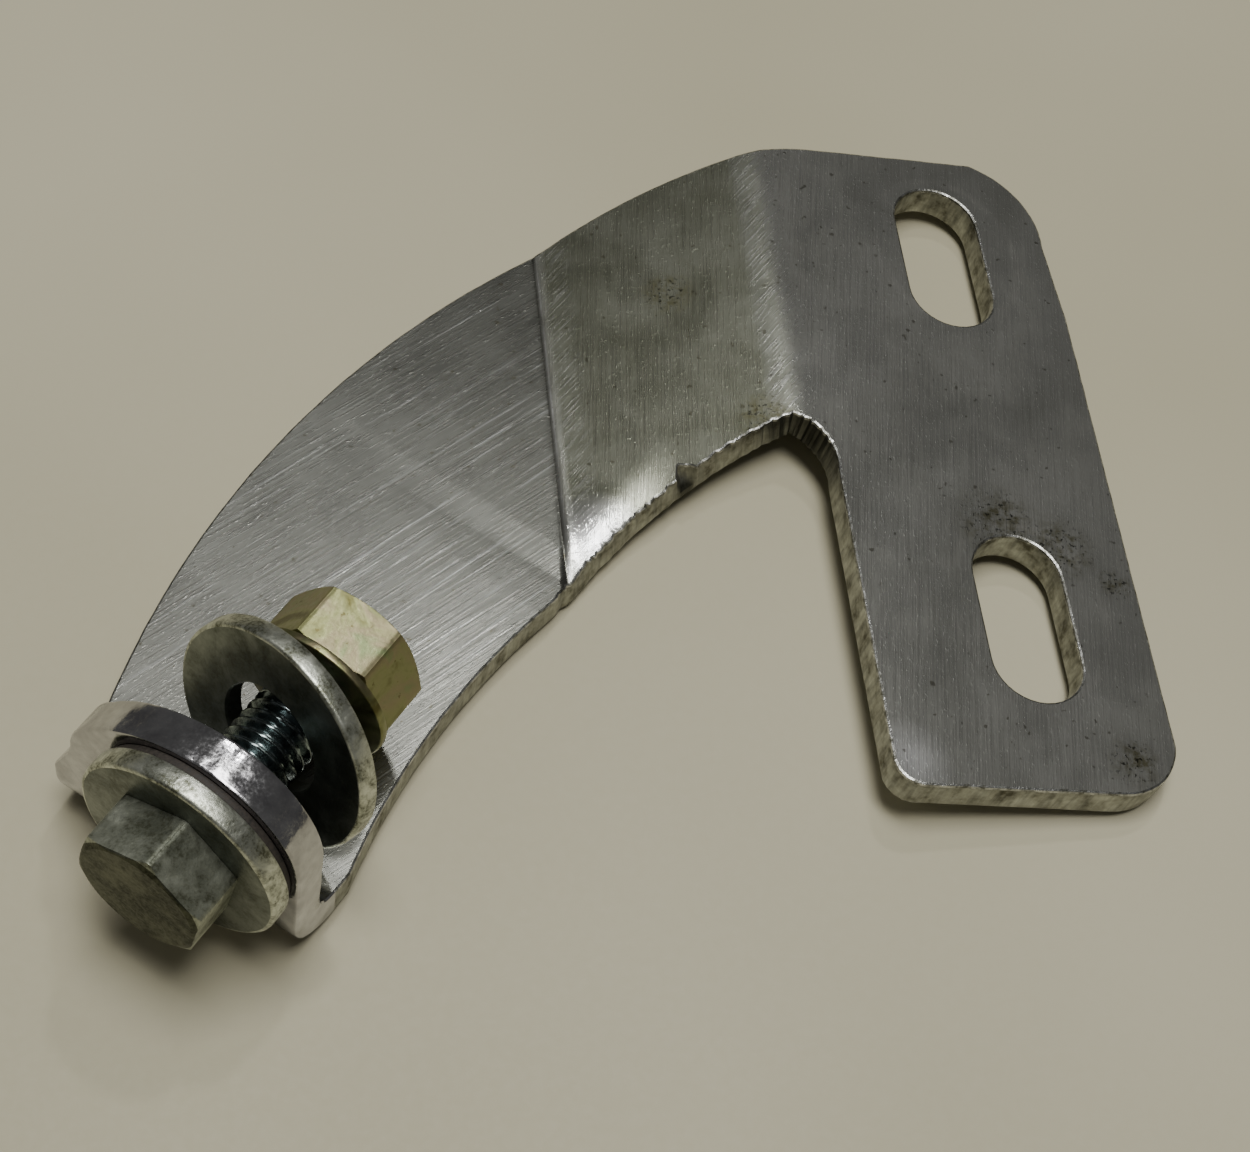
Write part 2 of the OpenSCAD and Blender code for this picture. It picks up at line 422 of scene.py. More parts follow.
def bisect(bm, point, normal, near=None):
    """Adds a line of points across the blank, so that it can fold there."""
    faces = [f for f in bm.faces if near is None or near(f.calc_center_median())]
    edges = {e for f in faces for e in f.edges}
    verts = {v for f in faces for v in f.verts}
    bmesh.ops.bisect_plane(
        bm, geom=list(verts) + list(edges) + faces, dist=1e-5, plane_co=point, plane_no=normal
    )


def add_fold_lines(bm):
    """Lines of points where the blank folds, bends or is worn."""
    for k in range(11):
        bisect(bm, (DROP_X + FOLD_WIDTH / 2 - 0.5 * k, 0, 0), (1, 0, 0))
    for offset in (1.8, 1.2, 0.7, 0.45, 0.2, 0.0, -0.2, -0.45, -0.9):
        bisect(bm, (CREASE_X + offset, 0, 0), (1, 0, 0))
    for x in (-34, -38, -42, -46, -50, -53, -56, -59):
        bisect(bm, (x, 0, 0), (1, 0, 0))
    for y in (26, 14, 4):
        bisect(bm, (0, y, 0), (0, 1, 0), lambda c: -64 < c.x < -28)
    for k in range(24):
        bisect(bm, (-65.5 + k, 0, 0), (1, 0, 0), lambda c: c.y < 0 and c.x > -70)
        bisect(bm, (0, -27.5 + k, 0), (0, 1, 0), lambda c: -67 < c.x < -41 and c.y < 0)
    across = (math.cos(BOLT_ANGLE), math.sin(BOLT_ANGLE), 0)
    steps = 16
    for i in range(steps + 1):
        x, y = from_ear(BEND_OUT - BEND_LENGTH * i / steps, 0)
        bisect(bm, (x, y, 0), across, lambda c: c.x < -90)


def plate_face_material(face):
    """The material's number for a face of the flat blank: 0 top, 1 side, 2 rim, 3 ear."""
    centre = face.calc_center_median()
    level = abs(face.normal.z) > 0.98
    ear_end = 1.0 if level and centre.z > 2 else BEND_OUT
    if centre.x < -90 and to_ear(centre.x, centre.y)[0] < ear_end:
        return 3
    if level:
        return 0
    return 2 if centre.z > 4.4 else 1


def build_plate(top, side, rim, ear):
    bm = bmesh.new()
    bottom_edges, top_edges = [], []
    loops = [(resampled(plate_outline(), 0.55), 1), (bore_outline(), -1)]
    loops += [(resampled(slot_outline(s), 0.8), -1) for s in (1, -1)]
    for points, into in loops:
        low, high = add_loop(bm, points, into)
        bottom_edges += low
        top_edges += high
    for edges in (bottom_edges, top_edges):
        bmesh.ops.triangle_fill(bm, use_beauty=True, edges=edges)
    bmesh.ops.recalc_face_normals(bm, faces=bm.faces)
    add_fold_lines(bm)
    bm.normal_update()
    for face in bm.faces:
        face.material_index = plate_face_material(face)
    flat = bm.verts.layers.float_vector.new("flat")
    for vert in bm.verts:
        x, y, h = vert.co
        vert[flat] = (x, y, h)
        vert.co = folded(x, y, h) * MM
    plate = mesh_object("Plate", bm, [top, side, rim, ear], sharp=23)
    plate.modifiers.new("Even shading", "WEIGHTED_NORMAL").keep_sharp = True
    return finish_piece(plate, "bracket", "bracket_plate")


# ---------------------------------------------------------------- the hardware


def bolt_matrix():
    """Turns places along the bolt, to its left and up, into the shared frame."""
    spin = next(j for j in frame["joints"] if j["name"] == "bolt_spin")
    along = Vector(spin["axis"]).normalized()
    lean = DROP - CREASE
    up = Vector((-math.sin(lean), 0, math.cos(lean)))
    left = up.cross(along).normalized()
    turn = Matrix((along, left, along.cross(left))).transposed().to_4x4()
    return Matrix.Translation(Vector(spin["pos_m"])) @ turn @ Matrix.Scale(MM, 4)


BOLT = bolt_matrix()


def lathe(profile, segments, ripple):
    """A ring turned about the bolt from a closed profile of (place, radius).

    The ripple function says how far the surface stands out at a place, radius and angle.
    """
    bm = bmesh.new()
    rings = []
    for i in range(segments):
        a = math.tau * i / segments
        ring = []
        for x, r in profile:
            out = r + ripple(x, r, a)
            ring.append(bm.verts.new((x, out * math.cos(a), out * math.sin(a))))
        rings.append(ring)
    for i in range(segments):
        bridge(bm, rings[i], rings[(i + 1) % segments])
    return bm


def ring_profile(x, thick, hole_r, outer_r, edge, burr):
    """A punched washer's section: rounded on one face's rim, crisp on the other."""
    end = x + thick
    middle = (hole_r + outer_r) / 2
    return [
        (x, hole_r + burr),
        (x, middle),
        (x, outer_r - edge),
        (x + edge * 0.13, outer_r - edge * 0.5),
        (x + edge * 0.5, outer_r - edge * 0.13),
        (x + edge, outer_r),
        (x + thick * 0.55, outer_r),
        (end - burr, outer_r),
        (end - burr * 0.3, outer_r - burr * 0.3),
        (end, outer_r - burr),
        (end, middle),
        (end, hole_r + edge * 0.6),
        (end - edge * 0.2, hole_r + edge * 0.2),
        (end - edge * 0.6, hole_r),
        (x + burr, hole_r),
    ]


def build_washer(name, along, size, *, edge, burr, wear, materials, matrix, body, node):
    """A punched washer; its last material is the rim's, the first is for all the rest."""
    x, thick = along
    hole_r, outer_r = size

    def ripple(px, r, a):
        near_rim = smooth((r - outer_r + 1.0) / 0.8)
        bumps = wobble(math.cos(a) * outer_r * 0.5, math.sin(a) * outer_r * 0.5, px * 0.6)
        shear = wobble(math.cos(a) * outer_r * 2.2, math.sin(a) * outer_r * 2.2, 5.0)
        return -near_rim * wear * (1.2 + bumps + 0.5 * shear)

    bm = lathe(ring_profile(x, thick, hole_r, outer_r, edge, burr), 160, ripple)
    for face in bm.faces:
        centre = face.calc_center_median()
        on_rim = math.hypot(centre.y, centre.z) > outer_r - edge * 1.1
        face.material_index = len(materials) - 1 if on_rim else 0
    bm.transform(matrix)
    return finish_piece(mesh_object(name, bm, materials), body, node)


def hex_radius(angle, af):
    """Distance from the axis to a hexagon's side, its corners slightly worn."""
    sector = (angle + math.pi / 6) % (math.pi / 3) - math.pi / 6
    corner = math.pi / 6 - abs(sector)
    flat_r = af / 2 / math.cos(sector)
    worn = 0.10 * math.exp(-((corner / 0.025) ** 2))
    return flat_r - worn


def hex_angles():
    """Angles round a hexagon, closer together near its corners."""
    angles = []
    for side in range(6):
        for step in range(-12, 12):
            t = step / 12
            t = math.copysign(1 - (1 - abs(t)) ** 1.6, t)
            angles.append(side * math.pi / 3 + t * math.pi / 6)
    return angles


def hex_prism(start, height, af, roll, turned_end, wear, hole_r=None):
    """A hexagon bar along the bolt whose corners are turned down by a cone."""
    slope = math.tan(HEX_CONE)
    face_r = af / 2 - HEX_FACE_INSET
    bm = bmesh.new()

    def cone(d):
        return face_r + d / slope

    depth = (af / 2 / math.cos(math.pi / 6) - face_r) * slope
    near = [depth * 1.15 * i / 14 for i in range(15)]
    places = near + [height * 0.35, height * 0.5, height * 0.65]
    places += [height - d for d in reversed(near)]
    rings = []
    for d in places:
        ring = []
        for a in hex_angles():
            r = min(hex_radius(a, af), cone(d))
            if turned_end:
                r = min(r, cone(height - d))
            r -= wear * max(0.0, wobble(math.cos(a) * 6, math.sin(a) * 6, d * 0.9))
            b = a + roll + HEX_START
            ring.append(bm.verts.new((start + d, r * math.cos(b), r * math.sin(b))))
        rings.append(ring)
    for low, high in zip(rings, rings[1:]):
        bridge(bm, low, high)
    inner = []
    for ring, x in ((rings[0], start), (rings[-1], start + height)):
        loop = []
        for vert in ring:
            direction = Vector((0, vert.co.y, vert.co.z)).normalized()
            r = hole_r + 0.55 if hole_r else af * 0.3
            loop.append(bm.verts.new((x, r * direction.y, r * direction.z)))
        bridge(bm, ring, loop)
        inner.append(loop)
        if not hole_r:
            bm.faces.new(loop)
    if hole_r:
        add_threaded_bore(bm, inner, start, height, hole_r)
    return bm


def add_threaded_bore(bm, mouths, start, height, hole_r):
    """Joins a nut's two mouths by a countersink and a helical groove between them."""
    steps = 48
    previous = mouths[0]
    for s in range(steps + 1):
        d = 0.5 + (height - 1.0) * s / steps
        ring = []
        for vert in mouths[0]:
            a = math.atan2(vert.co.z, vert.co.y)
            phase = (d / THREAD_PITCH - a / math.tau) % 1.0
            groove = 0.45 * abs(2 * phase - 1)
            r = hole_r + groove
            ring.append(bm.verts.new((start + d, r * math.cos(a), r * math.sin(a))))
        bridge(bm, previous, ring)
        previous = ring
    bridge(bm, previous, mouths[1])


def add_thread(bm, start, end):
    """The bolt's helical thread, with flat crests and a chamfered end."""
    around, root = 64, THREAD_R - THREAD_DEPTH
    steps = int((end - start) / 0.125)
    rings = []
    for s in range(steps + 1):
        x = start + (end - start) * s / steps
        ring = []
        for i in range(around):
            a = math.tau * i / around
            phase = (x / THREAD_PITCH - a / math.tau) % 1.0
            # Flat at the crest, then down the flank to a narrow root
            crest = clamp(1.22 - abs(2 * phase - 1) * 1.36)
            r = root + (THREAD_R - root) * crest
            r = min(r, THREAD_R - 0.9 + (end - x))
            r = max(r, root - 0.15) if end - x > 0.2 else r
            ring.append(bm.verts.new((x, r * math.cos(a), r * math.sin(a))))
        rings.append(ring)
    for low, high in zip(rings, rings[1:]):
        bridge(bm, low, high)
    bm.faces.new(rings[0])
    bm.faces.new(rings[-1])


def build_bolt(head, thread, end):
    """The bolt, with a material for its head, its thread and the head's flat end."""
    bm = hex_prism(
        HEAD_X - HEAD_H, HEAD_H, HEAD_AF, roll=HEAD_ROLL, turned_end=False, wear=0.09
    )
    for face in bm.faces:
        centre = face.calc_center_median()
        face.material_index = 2 if centre.x < HEAD_X - HEAD_H + 0.35 else 0
    before = len(bm.faces)
    add_thread(bm, HEAD_X - 0.4, BOLT_END)
    bm.faces.ensure_lookup_table()
    for face in bm.faces[before:]:
        face.material_index = 1
    bm.transform(BOLT)
    bolt = mesh_object("Pivot_bolt", bm, [head, thread, end], sharp=24)
    return finish_piece(bolt, "bolt", "pivot_bolt")


def build_nut(material):
    bm = hex_prism(
        NUT_X, NUT_H, NUT_AF, roll=NUT_ROLL, turned_end=True, wear=0.03, hole_r=NUT_BORE_R
    )
    bm.transform(BOLT)
    nut = mesh_object("Clamp_nut", bm, [material], sharp=24)
    return finish_piece(nut, "nut", "clamp_nut")


def fender_matrix():
    """The wide washer's place on the bolt, with its lean and roll."""
    place = Matrix.Translation((FENDER_X, FENDER_LEFT, FENDER_UP))
    roll = Matrix.Rotation(FENDER_ROLL, 4, "X")
    lean = Matrix.Rotation(FENDER_LEAN, 4, "Y")
    return BOLT @ place @ roll @ lean


# ---------------------------------------------------------------- materials


class Nodes:
    """Short ways to add and join shader nodes."""

    def __init__(self, name):
        self.material = bpy.data.materials.new(name)
        self.material.use_nodes = True
        self.tree = self.material.node_tree
        self.shader = self.tree.nodes["Principled BSDF"]

    def put(self, kind, **values):
        node = self.tree.nodes.new(kind)
        for key, value in values.items():
            setattr(node, key, value)
        return node

    def link(self, out, socket):
        self.tree.links.new(out, socket)

    def math(self, operation, a, b, clamped=False):
        node = self.put("ShaderNodeMath", operation=operation, use_clamp=clamped)
        for socket, value in zip(node.inputs, (a, b)):
            if isinstance(value, (int, float)):
                socket.default_value = value
            else:
                self.link(value, socket)
        return node.outputs[0]

    def position(self, attribute=None):
        """The piece's own coordinates in millimetres, or a stored set of them."""
        if attribute:
            return self.put("ShaderNodeAttribute", attribute_name=attribute).outputs["Vector"]
        node = self.put("ShaderNodeTexCoord")
        scale = self.put("ShaderNodeVectorMath", operation="SCALE")
        self.link(node.outputs["Object"], scale.inputs[0])
        scale.inputs["Scale"].default_value = 1000
        return scale.outputs[0]

    def mapped(self, vector, turn, scale):
        """The vector turned, then scaled."""
        spin = self.put("ShaderNodeVectorRotate", rotation_type="EULER_XYZ")
        spin.inputs["Rotation"].default_value = turn
        self.link(vector, spin.inputs["Vector"])
        size = self.put("ShaderNodeVectorMath", operation="MULTIPLY")
        self.link(spin.outputs[0], size.inputs[0])
        size.inputs[1].default_value = scale
        return size.outputs[0]

    def noise(self, vector, scale=1.0, detail=2.0, rough=0.5, distortion=0.0):
        node = self.put("ShaderNodeTexNoise")
        self.link(vector, node.inputs["Vector"])
        node.inputs["Scale"].default_value = scale
        node.inputs["Detail"].default_value = detail
        node.inputs["Roughness"].default_value = rough
        node.inputs["Distortion"].default_value = distortion
        return node.outputs["Fac"]

    def ramp(self, value, *stops):
        """A colour ramp; each stop is (place, grey or colour)."""
        node = self.put("ShaderNodeValToRGB")
        elements = node.color_ramp.elements
        while len(elements) < len(stops):
            elements.new(0.5)
        for element, (place, colour) in zip(elements, stops):
            element.position = place
            if isinstance(colour, (int, float)):
                colour = (colour, colour, colour)
            element.color = (*colour, 1)
        self.link(value, node.inputs[0])
        return node.outputs[0]

    def mix(self, factor, a, b):
        node = self.put("ShaderNodeMix", data_type="RGBA")
        sockets = (node.inputs["Factor"], node.inputs[6], node.inputs[7])
        for socket, value in zip(sockets, (factor, a, b)):
            if isinstance(value, (int, float)):
                socket.default_value = value
            elif isinstance(value, tuple):
                socket.default_value = (*value, 1)
            else:
                self.link(value, socket)
        return node.outputs[2]

    def shaded(self, colour, lines, factor):
        """The colour multiplied by the lines, as far as the factor says."""
        node = self.put("ShaderNodeMix", data_type="RGBA", blend_type="MULTIPLY")
        node.inputs["Factor"].default_value = factor
        self.link(colour, node.inputs[6])
        self.link(lines, node.inputs[7])
        return node.outputs[2]

    def distance(self, vector, place, stretch=(1, 1, 0)):
        """Distance from a place on the blank, its axes stretched first."""
        node = self.put("ShaderNodeVectorMath", operation="DISTANCE")
        flat = self.put("ShaderNodeVectorMath", operation="MULTIPLY")
        self.link(vector, flat.inputs[0])
        flat.inputs[1].default_value = stretch
        self.link(flat.outputs[0], node.inputs[0])
        node.inputs[1].default_value = place
        return node.outputs["Value"]

    def spot(self, vector, x, y, radius, soft=0.6):
        """1 near a place on the blank, falling to 0 at the radius."""
        near = self.math("SUBTRACT", radius, self.distance(vector, (x, y, 0)))
        return self.math("DIVIDE", near, radius * soft, clamped=True)

    def bump(self, height, strength, distance=0.0001, under=None):
        node = self.put("ShaderNodeBump")
        node.inputs["Strength"].default_value = strength
        node.inputs["Distance"].default_value = distance
        self.link(height, node.inputs["Height"])
        if under is not None:
            self.link(under, node.inputs["Normal"])
        return node.outputs[0]

    def surface(self, colour, roughness, normal=None, metallic=1.0):
        self.link(colour, self.shader.inputs["Base Color"])
        self.link(roughness, self.shader.inputs["Roughness"])
        if normal is not None:
            self.link(normal, self.shader.inputs["Normal"])
        self.shader.inputs["Metallic"].default_value = metallic
        return self.material


def band(n, x, low, high, soft):
    """1 where x lies between low and high, with soft ends."""
    rise = n.math("DIVIDE", n.math("SUBTRACT", x, low), soft, clamped=True)
    fall = n.math("DIVIDE", n.math("SUBTRACT", high, x), soft, clamped=True)
    return n.math("MULTIPLY", rise, fall)


def brushed(n, flat, degrees, across, along, seed):
    """Fine parallel scratches on the blank, running in one direction."""
    turn = (0, 0, -math.radians(degrees))
    fine = n.mapped(flat, turn, (along, across, 0.0))
    shifted = n.put("ShaderNodeVectorMath", operation="ADD")
    n.link(fine, shifted.inputs[0])
    shifted.inputs[1].default_value = (seed, seed * 2.3, seed)
    return n.noise(shifted.outputs[0], 1.0, 3.0, 0.65)


class Blank:
    """The blank's coordinates and zones as shader values, 1 inside a zone."""

    def __init__(self, n):
        self.flat = n.position("flat")
        split = n.put("ShaderNodeSeparateXYZ")
        n.link(self.flat, split.inputs[0])
        x = self.x = split.outputs[0]
        self.arm = n.math("DIVIDE", n.math("SUBTRACT", CREASE_X + 0.6, x), 0.6, clamped=True)
        self.flange = n.math("DIVIDE", n.math("SUBTRACT", x, DROP_X - 0.5), 1.5, clamped=True)
        self.middle = band(n, x, CREASE_X, DROP_X + 1.5, 2.0)
        self.fold = band(n, x, DROP_X - 4.0, DROP_X + 2.5, 1.0)
        self.crossed = n.math(
            "MAXIMUM",
            band(n, x, DROP_X - 4.6, DROP_X + 4.0, 2.0),
            band(n, x, CREASE_X + 0.3, CREASE_X + 6.0, 2.5),
        )
        self.smudge = n.noise(self.flat, 0.12, 3.0, 0.5, 0.4)


def plate_grain(n, blank, cross_scratches):
    """The brushing of the three flats, crossed by other scratches at the folds."""
    grain = n.mix(
        blank.flange,
        brushed(n, blank.flat, 84, 4.5, 0.08, 1.0),
        brushed(n, blank.flat, 80, 3.8, 0.07, 5.0),
    )
    grain = n.mix(blank.arm, grain, brushed(n, blank.flat, 35, 3.2, 0.06, 9.0))
    return n.mix(n.math("MULTIPLY", blank.crossed, 0.75), grain, cross_scratches)


def plate_tone(n, blank):
    """The metal's tone, greenish in the middle; painted shade on the arm by the crease, painted
    highlights by the crease's low edge and on the flange's corner.
    """
    patches = n.noise(blank.flat, 0.045, 3.0, 0.6)
    tone = n.ramp(patches, (0.3, (0.45, 0.455, 0.42)), (0.7, (0.58, 0.585, 0.55)))
    green = n.ramp(blank.smudge, (0.35, (0.205, 0.215, 0.15)), (0.7, (0.26, 0.27, 0.21)))
    tone = n.mix(n.math("MULTIPLY", blank.middle, 0.85), tone, green)
    tone = n.mix(n.math("MULTIPLY", blank.fold, 0.35), tone, (0.40, 0.41, 0.37))
    # Painted highlight: the low edge by the crease is made near white
    painted_edge_highlight = n.math("MULTIPLY", n.spot(blank.flat, *PAINTED_EDGE_HIGHLIGHT, 8.5, 0.9), blank.middle)
    tone = n.mix(painted_edge_highlight, tone, (0.92, 0.93, 0.93))
    # Painted shade: the arm is darkest by the crease and grows lighter towards the ear
    toward_ear = n.math("SUBTRACT", CREASE_X - 4, blank.x)
    toward_ear = n.math("DIVIDE", toward_ear, 45.0, clamped=True)
    arm_tone_and_shade = n.mix(toward_ear, (0.15, 0.153, 0.137), (0.29, 0.295, 0.27))
    tone = n.mix(blank.arm, tone, arm_tone_and_shade)
    # Painted glint: the flange's lower corner is made near white
    return n.mix(n.spot(blank.flat, *PAINTED_CORNER_GLINT, 6.5, 0.9), tone, (0.95, 0.96, 0.95))


def crease_shade_and_highlight(n, blank, colour):
    """The crease's painted shade, a thin dark line, with a broken painted highlight beside it."""
    crease_painted_shade = band(n, blank.x, CREASE_X - 0.1, CREASE_X + 0.3, 0.15)
    colour = n.mix(n.math("MULTIPLY", crease_painted_shade, 0.6), colour, (0.05, 0.05, 0.04))
    crease_painted_highlight = band(n, blank.x, CREASE_X + 0.35, CREASE_X + 0.8, 0.2)
    broken = n.ramp(blank.smudge, (0.4, 0.1), (0.6, 0.7))
    return n.mix(n.math("MULTIPLY", crease_painted_highlight, broken), colour, (0.85, 0.86, 0.85))


def plate_dirt(n, blank, colour, specks):
    """Stains with dark pits in them, and tiny marks all over; also how dirty a place is."""
    spots = [n.spot(blank.flat, *stain) for stain in STAINS]
    stains = spots[0]
    for spot in spots[1:]:
        stains = n.math("MAXIMUM", stains, spot)
    blotch = n.ramp(n.noise(blank.flat, 0.7, 4.0, 0.7), (0.42, 0.0), (0.62, 1.0))
    dirty = n.math("MULTIPLY", n.math("MULTIPLY", stains, blotch), 0.8)
    colour = n.mix(dirty, colour, (0.11, 0.10, 0.035))
    pits = n.math("MULTIPLY", n.math("MULTIPLY", stains, specks), 0.9)
    colour = n.mix(pits, colour, (0.02, 0.02, 0.015))
    tiny = n.ramp(n.noise(blank.flat, 0.9, 2.0, 0.4), (0.725, 0.0), (0.745, 1.0))
    return n.mix(n.math("MULTIPLY", tiny, 0.6), colour, (0.07, 0.06, 0.03)), dirty


def washer_rings(n, blank, colour):
    """The faint oval that a washer has worn round each slot."""
    squash = 0.82
    rings = []
    for side in (1, -1):
        place = (0.5, side * SLOT_PITCH / 2 * squash + 1.0, 0)
        away = n.distance(blank.flat, place, (1, squash, 0))
        rings.append(band(n, away, 10.6, 12.2, 0.6))
    broken = n.ramp(blank.smudge, (0.35, 0.1), (0.65, 0.5))
    worn = n.math("MULTIPLY", n.math("MAXIMUM", *rings), broken)
    return n.mix(n.math("MULTIPLY", worn, 0.5), colour, (0.72, 0.71, 0.66))


def plate_roughness(n, blank, grain, dirty):
    """Rougher between the scratches and where it is dirty, smooth at the worn edge."""
    rough = n.ramp(grain, (0.3, 0.32), (0.7, 0.20))
    rough = n.math("ADD", rough, n.ramp(blank.smudge, (0.3, 0.0), (0.7, 0.04)))
    rough = n.math("ADD", rough, n.math("MULTIPLY", dirty, 0.05), clamped=True)
    buffed = n.math("MULTIPLY", n.spot(blank.flat, *BUFFED, 9.0, 0.8), 0.4)
    return n.math("MULTIPLY", rough, n.math("SUBTRACT", 1.0, buffed))


def plate_top_material():
    """Hand-brushed aluminium: each of the three flats has its own scratches."""
    n = Nodes("Plate top")
    blank = Blank(n)
    crossed = brushed(n, blank.flat, 48, 2.8, 0.16, 13.0)
    coarse = brushed(n, blank.flat, 37, 1.3, 0.03, 17.0)
    grain = plate_grain(n, blank, crossed)
    lines = n.ramp(grain, (0.30, 0.66), (0.5, 1.0), (0.72, 1.32))
    colour = n.shaded(plate_tone(n, blank), lines, 0.75)
    long_lines = n.math("MULTIPLY", n.ramp(coarse, (0.58, 0.0), (0.68, 1.0)), blank.arm)
    long_lines = n.math("MULTIPLY", long_lines, 0.45)
    colour = n.mix(long_lines, colour, (0.45, 0.46, 0.45))
    hatch = n.math("MULTIPLY", n.ramp(crossed, (0.50, 0.0), (0.62, 1.0)), blank.crossed)
    hatch = n.math("MULTIPLY", hatch, 0.42)
    colour = n.mix(hatch, colour, (0.72, 0.73, 0.71))
    colour = crease_shade_and_highlight(n, blank, colour)
    specks = n.ramp(n.noise(blank.flat, 1.6, 2.0, 0.6), (0.58, 0.0), (0.63, 1.0))
    colour, dirty = plate_dirt(n, blank, colour, specks)
    colour = washer_rings(n, blank, colour)
    rough = plate_roughness(n, blank, grain, dirty)
    wave = n.bump(n.noise(blank.flat, 0.06, 2.0, 0.4), 0.15, 0.0004)
    hair = n.bump(grain, 0.2, 0.00006, wave)
    cuts = n.math("ADD", n.math("ADD", long_lines, hatch), specks)
    return n.surface(colour, rough, n.bump(cuts, 0.14, 0.00006, hair))


def plate_side_material():
    """The plate's sawn and filed side: dull grey with brown and olive grime, and painted shade at
    the corner by the fold and in the nick.
    """
    n = Nodes("Plate side")
    flat = n.position("flat")
    flutes = n.noise(n.mapped(flat, (0, 0, 0), (1.1, 1.1, 0.12)), 1.0, 3.0, 0.6)
    blotch = n.noise(flat, 0.35, 4.0, 0.65)
    colour = n.ramp(
        blotch, (0.34, (0.13, 0.125, 0.09)), (0.46, (0.28, 0.28, 0.235)), (0.7, (0.44, 0.45, 0.40))
    )
    # Painted shade at the inner corner by the fold
    colour = n.mix(n.spot(flat, -27.0, -4.0, 8.0, 0.7), colour, (0.05, 0.05, 0.04))
    # Painted shade in the nick of the low edge
    colour = n.mix(n.spot(flat, -44.3, -9.5, 2.2, 0.5), colour, (0.06, 0.06, 0.045))
    streak = n.ramp(flutes, (0.35, 0.65), (0.5, 1.0), (0.68, 1.3))
    rough = n.ramp(blotch, (0.3, 0.62), (0.7, 0.42))
    normal = n.bump(flutes, 0.6, 0.0003)
    return n.surface(n.shaded(colour, streak, 0.8), rough, normal)


def ear_rim_material():
    """The ear's buffed edge, almost a mirror but uneven."""
    n = Nodes("Ear rim")
    place = n.position()
    cloud = n.noise(place, 0.35, 3.0, 0.6)
    fine = n.noise(place, 2.6, 3.0, 0.6)
    colour = n.ramp(cloud, (0.3, (0.36, 0.355, 0.38)), (0.7, (0.60, 0.60, 0.62)))
    rough = n.ramp(fine, (0.35, 0.11), (0.7, 0.25))
    swell = n.bump(n.noise(place, 0.17, 1.0, 0.3), 0.9, 0.0008)
    normal = n.bump(fine, 0.10, 0.00005, n.bump(cloud, 0.3, 0.0003, swell))
    return n.surface(colour, rough, normal)


def plate_rim_material():
    """The thin bright burr along the plate's upper edges."""
    n = Nodes("Plate rim")
    flat = n.position("flat")
    worn = n.noise(flat, 0.8, 3.0, 0.7)
    colour = n.ramp(worn, (0.38, (0.14, 0.14, 0.12)), (0.66, (0.62, 0.63, 0.62)))
    rough = n.ramp(worn, (0.3, 0.42), (0.7, 0.22))
    normal = n.bump(n.noise(flat, 2.2, 3.0, 0.7), 0.4, 0.0002)
    return n.surface(colour, rough, normal)


def zinc_material(name, dark, light, *, grime, dirt, roughness, scale=1.0):
    """Dull zinc plate with handling marks and grime in its low places."""
    n = Nodes(name)
    place = n.position()
    cloud = n.noise(place, 0.22 * scale, 4.0, 0.62, 0.4)
    fine = n.noise(place, 1.6 * scale, 4.0, 0.7)
    colour = n.ramp(cloud, (0.34, dark), (0.66, light))
    low = n.ramp(cloud, (0.40, 1.0), (0.58, 0.15))
    mask = n.math("MULTIPLY", low, n.ramp(fine, (0.42, 0.0), (0.6, 1.0)))
    colour = n.mix(n.math("MULTIPLY", mask, dirt), colour, grime)
    rough = n.ramp(fine, (0.3, roughness[0]), (0.7, roughness[1]))
    normal = n.bump(fine, 0.35, 0.0001, n.bump(cloud, 0.3, 0.0003))
    return n.surface(colour, rough, normal)


def yellow_material():
    """Yellow chromate: pale yellow-green with pink and olive shifts."""
    n = Nodes("Yellow zinc")
    place = n.position()
    cloud = n.noise(place, 0.17, 3.0, 0.55, 0.8)
    fine = n.noise(place, 1.5, 4.0, 0.65)
    colour = n.ramp(
        cloud,
        (0.32, (0.13, 0.12, 0.045)),
        (0.45, (0.26, 0.27, 0.13)),
        (0.57, (0.28, 0.245, 0.15)),
        (0.70, (0.22, 0.26, 0.13)),
    )
    specks = n.ramp(n.noise(place, 0.9, 3.0, 0.5), (0.66, 0.0), (0.7, 1.0))
    colour = n.mix(n.math("MULTIPLY", specks, 0.7), colour, (0.12, 0.10, 0.04))
    rough = n.ramp(fine, (0.3, 0.30), (0.7, 0.44))
    normal = n.bump(fine, 0.22, 0.0001, n.bump(cloud, 0.25, 0.0003))
    return n.surface(colour, rough, normal)


def thread_material():
    """Oily dark thread with cool glints."""
    n = Nodes("Thread")
    place = n.position()
    cloud = n.noise(place, 0.8, 3.0, 0.6)
    colour = n.ramp(cloud, (0.35, (0.06, 0.07, 0.07)), (0.65, (0.30, 0.36, 0.37)))
    rough = n.ramp(cloud, (0.3, 0.34), (0.7, 0.16))
    return n.surface(colour, rough, n.bump(cloud, 0.3, 0.0001))


def black_material():
    """Matt black with a faint mottle."""
    n = Nodes("Friction black")
    place = n.position()
    fine = n.noise(place, 2.2, 4.0, 0.7)
    colour = n.ramp(fine, (0.3, (0.012, 0.011, 0.010)), (0.7, (0.05, 0.04, 0.033)))
    rough = n.ramp(fine, (0.3, 0.55), (0.7, 0.8))
    return n.surface(colour, rough, n.bump(fine, 0.4, 0.0001), metallic=0.0)


def floor_material():
    """A pale warm table top, almost even."""
    n = Nodes("Floor")
    place = n.position()
    cloud = n.noise(place, 0.006, 3.0, 0.5)
    fine = n.noise(place, 0.8, 3.0, 0.6)
    colour = n.ramp(cloud, (0.3, (0.45, 0.42, 0.295)), (0.7, (0.53, 0.50, 0.365)))
    rough = n.ramp(fine, (0.3, 0.6), (0.7, 0.75))
    return n.surface(colour, rough, n.bump(fine, 0.08, 0.0001), metallic=0.0)


# ---------------------------------------------------------------- the scene


